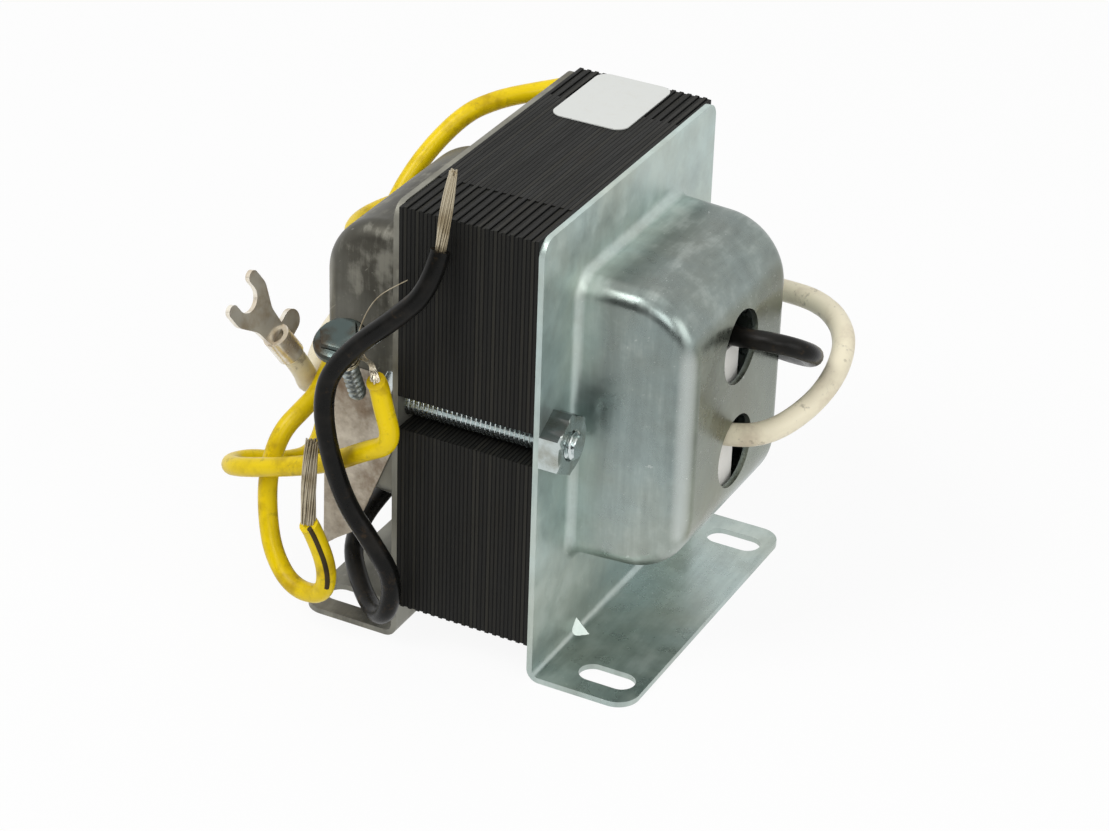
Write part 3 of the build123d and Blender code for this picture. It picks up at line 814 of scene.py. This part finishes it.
class TRANSFORMER_OT_terminals(Operator):
    """Build the loose terminal screw and finish the fork terminal"""

    bl_idname = "transformer.terminals"
    bl_label = "Terminals"

    def execute(self, context):
        sizes = context.scene.transformer_terminal
        shank = bmesh.new()
        add_thread(shank, sizes.length, sizes.diameter / 2, sizes.thread_depth, sizes.pitch)
        head = bmesh.new()
        add_hex_head(head, sizes.flats, sizes.head_height, sizes.washer, sizes.washer_height)
        across = Vector((1, 0, 0))
        turn = Matrix((across, TERMINAL_AXIS.cross(across), TERMINAL_AXIS)).transposed().to_4x4()
        place = Matrix.Translation(TERMINAL_SEAT * MM) @ turn
        dull = turned_metal("dull_zinc", (0.085, 0.11, 0.105), (0.05, 0.034, 0.02), 0.24)
        lighter_part = turned_metal("clean_thread", (0.4, 0.45, 0.45), (0.24, 0.25, 0.23), 0.3)
        halves = [("terminal_screw_head", head, dull), ("terminal_screw_thread", shank, lighter_part)]
        for name, shape, metal in halves:
            piece = placed(name, shape, place, metal)
            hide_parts("terminal_screw")
        brass = turned_metal("tinned_brass", (0.88, 0.83, 0.72), (0.58, 0.48, 0.35), 0.18, 0.55)
        cover("fork_terminal", brass)
        return {"FINISHED"}


class TRANSFORMER_OT_leads(Operator):
    """Build the four leads and their bare strands"""

    bl_idname = "transformer.leads"
    bl_label = "Leads"

    def execute(self, context):
        look = context.scene.transformer_leads
        thin = look.diameter
        thick = look.white_diameter
        tinned = turned_metal("tinned_copper", (0.5, 0.44, 0.32), (0.33, 0.27, 0.17), 0.34, 0.6)
        polished = turned_metal("bright_strands", (0.78, 0.72, 0.58), (0.5, 0.42, 0.28), 0.22, 0.85)
        black_skin = insulation("black_skin", look.black, (0.017, 0.015, 0.0125), 0.3, 0.25, 0.13)
        white_skin = insulation("white_skin", look.white, (0.58, 0.49, 0.36), 0.42, 0.5)
        # The yellow leads' lower loops are darkened by painted shade
        yellow_skin = insulation("yellow_skin", look.yellow, (0.44, 0.27, 0.001), 0.34, 0.35, 0.24, 0.14)
        black = wires("black_cord", [BLACK_ROUTE], thin, black_skin, CORD_ROUNDING)
        white = wires("white_cord", [WHITE_ROUTE], thick, white_skin, CORD_ROUNDING)
        first = wires("yellow_cord_a", [YELLOW_A_ROUTE], thin, yellow_skin, CORD_ROUNDING)
        second = wires("yellow_cord_b", [YELLOW_B_ROUTE], thin, yellow_skin, CORD_ROUNDING)
        bare = fanned_strands(BLACK_ROUTE[-1:] + BLACK_STRANDS, NARROW_FAN, look.strands, BLACK_SEED)
        black_ends = wires("black_bare_strands", bare, look.strand, tinned)
        bare = fanned_strands(YELLOW_A_ROUTE[-1:] + YELLOW_A_STRANDS, WIDE_FAN, look.strands, YELLOW_SEED)
        yellow_ends = wires("yellow_bare_strands", bare, look.strand, tinned)
        entry = YELLOW_B_ROUTE[-1:] + HOOK_ENTRY
        bare = hooked_strands(entry, TERMINAL_SEAT, TERMINAL_AXIS, HOOK_RADIUS, look.strands, HOOK_SEED)
        hook_ends = wires("hooked_bare_strands", bare, look.strand, polished)
        loose_end = wires("loose_strand", [LOOSE_STRAND], look.strand * LOOSE_PART, tinned)
        slit_shade_strip = self.add_slit_shade(YELLOW_A_ROUTE[-4:], thin)
        strands = [
            (black_ends, "black_lead_strands"),
            (yellow_ends, "yellow_a_strands"),
            (hook_ends, "yellow_b_strands"),
        ]
        for piece, cad in strands:
            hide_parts(cad)
        fork = node("fork_terminal")
        screw_head = bpy.data.objects["terminal_screw_head"]
        screw_thread = bpy.data.objects["terminal_screw_thread"]
        hooked = [hook_ends, loose_end, screw_head, screw_thread]
        leads = [
            (black, "black_lead", "black_insulation", BLACK_ROUTE, BLACK_LENGTH, thin, "bare", [black_ends]),
            (white, "white_lead", "white_insulation", WHITE_ROUTE, WHITE_LENGTH, thick, "fitting", [fork]),
            (first, "yellow_lead_a", "yellow_insulation", YELLOW_A_ROUTE, YELLOW_A_LENGTH, thin, "bare",
             [yellow_ends, slit_shade_strip]),
            (second, "yellow_lead_b", "yellow_insulation", YELLOW_B_ROUTE, YELLOW_B_LENGTH, thin, "fitting",
             hooked),
        ]
        for piece, cad, skin, route, length, diameter, far_end, ends in leads:
            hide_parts(cad)
            exit_place = [value * MM for value in route[0]]
        return {"FINISHED"}

    def add_slit_shade(self, tail, diameter):
        """Adds painted shade where the insulation was split along a lead's last stretch: a thin dark strip,
        with no groove cut.
        """
        points = [Vector(place) for place in tail]
        points[0] = (points[0] + points[1]) / 2
        line = [point + SLIT_WAY * (diameter / MM * SLIT_REACH) for point in points]
        # Painted shade: the dark strip stands for the shade inside the slit
        shade = insulation("slit_shade", (0.045, 0.03, 0.01), (0.015, 0.011, 0.006), 0.6, 0.3, 0.2)
        slit_shade_strip = wires("lead_slit", [line], SLIT_WIDTH, shade)
        return slit_shade_strip


class TRANSFORMER_OT_stage(Operator):
    """Set up the floor, light and camera"""

    bl_idname = "transformer.stage"
    bl_label = "Studio set"

    def execute(self, context):
        studio = context.scene.transformer_studio
        context.scene.view_settings.view_transform = "Standard"
        self.add_floor()
        self.add_world(context.scene, studio)
        for name, place, size, power in LAMPS:
            self.add_lamp(name, Vector(place), Vector(studio.aim), size, getattr(studio, power))
        self.add_flag()
        self.add_camera(context.scene, studio)
        return {"FINISHED"}

    def sheet(self, name, corners, material):
        """Returns a flat four-cornered sheet of the set."""
        shape = bmesh.new()
        shape.faces.new([shape.verts.new(corner) for corner in corners])
        return linked(name, mesh_of(name, shape, material))

    def seen(self, nodes):
        """Returns 1 for rays that show the background."""
        kinds = ("Is Camera Ray", "Is Glossy Ray", "Is Transmission Ray")
        camera, glossy, through = [nodes.node("ShaderNodeLightPath", None, None, kind) for kind in kinds]
        return nodes.number("MAXIMUM", nodes.number("MAXIMUM", camera, glossy), through)

    def add_floor(self):
        """Adds a wide pale floor that keeps the shadow."""
        finish = plain_grey("floor_paint", 0.8, 0.84, 60.0, 4.0, 0.8)
        glow = finish.node("ShaderNodeEmission", None, {"Color": WHITE, "Strength": 1.0})
        parts = {0: self.seen(finish) * FLOOR_GLOW, 1: finish.shown, 2: glow}
        finish.put(finish.surface, finish.node("ShaderNodeMixShader", None, parts))
        floor = self.sheet("floor", FLOOR_CORNERS, finish.material)
        floor.location.z = -FLOOR_DROP

    def add_flag(self):
        """Adds a dark cloth behind the camera, so that bright metal has something dark to show."""
        finish = plain_grey("flag_cloth", 0.02, 0.035, 400.0, 2.0, 0.9)
        flag = self.sheet("flag", FLAG_CORNERS, finish.material)
        flag.visible_camera = False

    def add_world(self, scene, studio):
        """Adds an even sky that shows as white behind the floor."""
        scene.world = bpy.data.worlds.new("studio_sky")
        scene.world.use_nodes = True
        sky = Nodes(scene.world.node_tree, "ShaderNodeOutputWorld")
        even = sky.node("ShaderNodeBackground", None, {"Color": WHITE, "Strength": studio.sky})
        white = sky.node("ShaderNodeBackground", None, {"Color": WHITE, "Strength": 1.0})
        sky.put(sky.surface, sky.node("ShaderNodeMixShader", None, {0: self.seen(sky), 1: even, 2: white}))

    def add_lamp(self, name, place, target, size, power):
        """Adds one soft square lamp aimed at the object."""
        light = bpy.data.lights.new(name, "AREA")
        light.size = size
        light.energy = power
        lamp = linked(name, light)
        lamp.location = place
        lamp.rotation_euler = (target - place).to_track_quat("-Z", "Y").to_euler()

    def add_camera(self, scene, studio):
        """Adds the camera at the photograph's place."""
        turn = math.radians(studio.azimuth)
        rise = math.radians(studio.elevation)
        roll = math.radians(studio.roll)
        back = Vector((math.sin(turn) * math.cos(rise), -math.cos(turn) * math.cos(rise), math.sin(rise)))
        level = Vector((math.cos(turn), math.sin(turn), 0))
        above = back.cross(level)
        right = level * math.cos(roll) + above * math.sin(roll)
        up = above * math.cos(roll) - level * math.sin(roll)
        eye = Vector(studio.aim) + right * studio.shift[0] + up * studio.shift[1] + back * studio.distance
        view = bpy.data.cameras.new("photo_camera")
        view.sensor_width = 36.0
        view.sensor_fit = "HORIZONTAL"
        view.lens = studio.lens
        view.clip_start = 0.01
        camera = linked("photo_camera", view)
        camera.matrix_world = Matrix.Translation(eye) @ Matrix((right, up, back)).transposed().to_4x4()
        scene.camera = camera


class TRANSFORMER_PT_panel(Panel):
    """Lists the steps and the sizes and colours they use"""

    bl_label = "Transformer"
    bl_idname = "TRANSFORMER_PT_panel"
    bl_space_type = "VIEW_3D"
    bl_region_type = "UI"
    bl_category = "Transformer"

    def draw(self, context):
        for step in STEPS:
            self.layout.operator(step.bl_idname)
        for name, group in GROUPS:
            box = self.layout.box()
            for field in group.__annotations__:
                box.prop(getattr(context.scene, name), field)


GROUPS = [
    ("transformer_core", CoreLook),
    ("transformer_sheet", SheetLook),
    ("transformer_hardware", HardwareSizes),
    ("transformer_terminal", TerminalSizes),
    ("transformer_leads", LeadLook),
    ("transformer_studio", StudioSet),
]
STEPS = [
    TRANSFORMER_OT_core,
    TRANSFORMER_OT_bells,
    TRANSFORMER_OT_coil,
    TRANSFORMER_OT_clamps,
    TRANSFORMER_OT_labels,
    TRANSFORMER_OT_terminals,
    TRANSFORMER_OT_leads,
    TRANSFORMER_OT_stage,
]


def register():
    """Registers the settings, steps and panel."""
    for name, group in GROUPS:
        bpy.utils.register_class(group)
        setattr(bpy.types.Scene, name, PointerProperty(type=group))
    for step in STEPS:
        bpy.utils.register_class(step)
    bpy.utils.register_class(TRANSFORMER_PT_panel)


def unregister():
    """Takes the settings, steps and panel out again."""
    bpy.utils.unregister_class(TRANSFORMER_PT_panel)
    for step in reversed(STEPS):
        bpy.utils.unregister_class(step)
    for name, group in reversed(GROUPS):
        delattr(bpy.types.Scene, name)
        bpy.utils.unregister_class(group)


def main():
    """Builds every piece and the set."""
    register()
    bpy.ops.transformer.core()
    bpy.ops.transformer.bells()
    bpy.ops.transformer.coil()
    bpy.ops.transformer.clamps()
    bpy.ops.transformer.labels()
    bpy.ops.transformer.terminals()
    bpy.ops.transformer.leads()
    bpy.ops.transformer.stage()


if __name__ == "__main__":
    main()
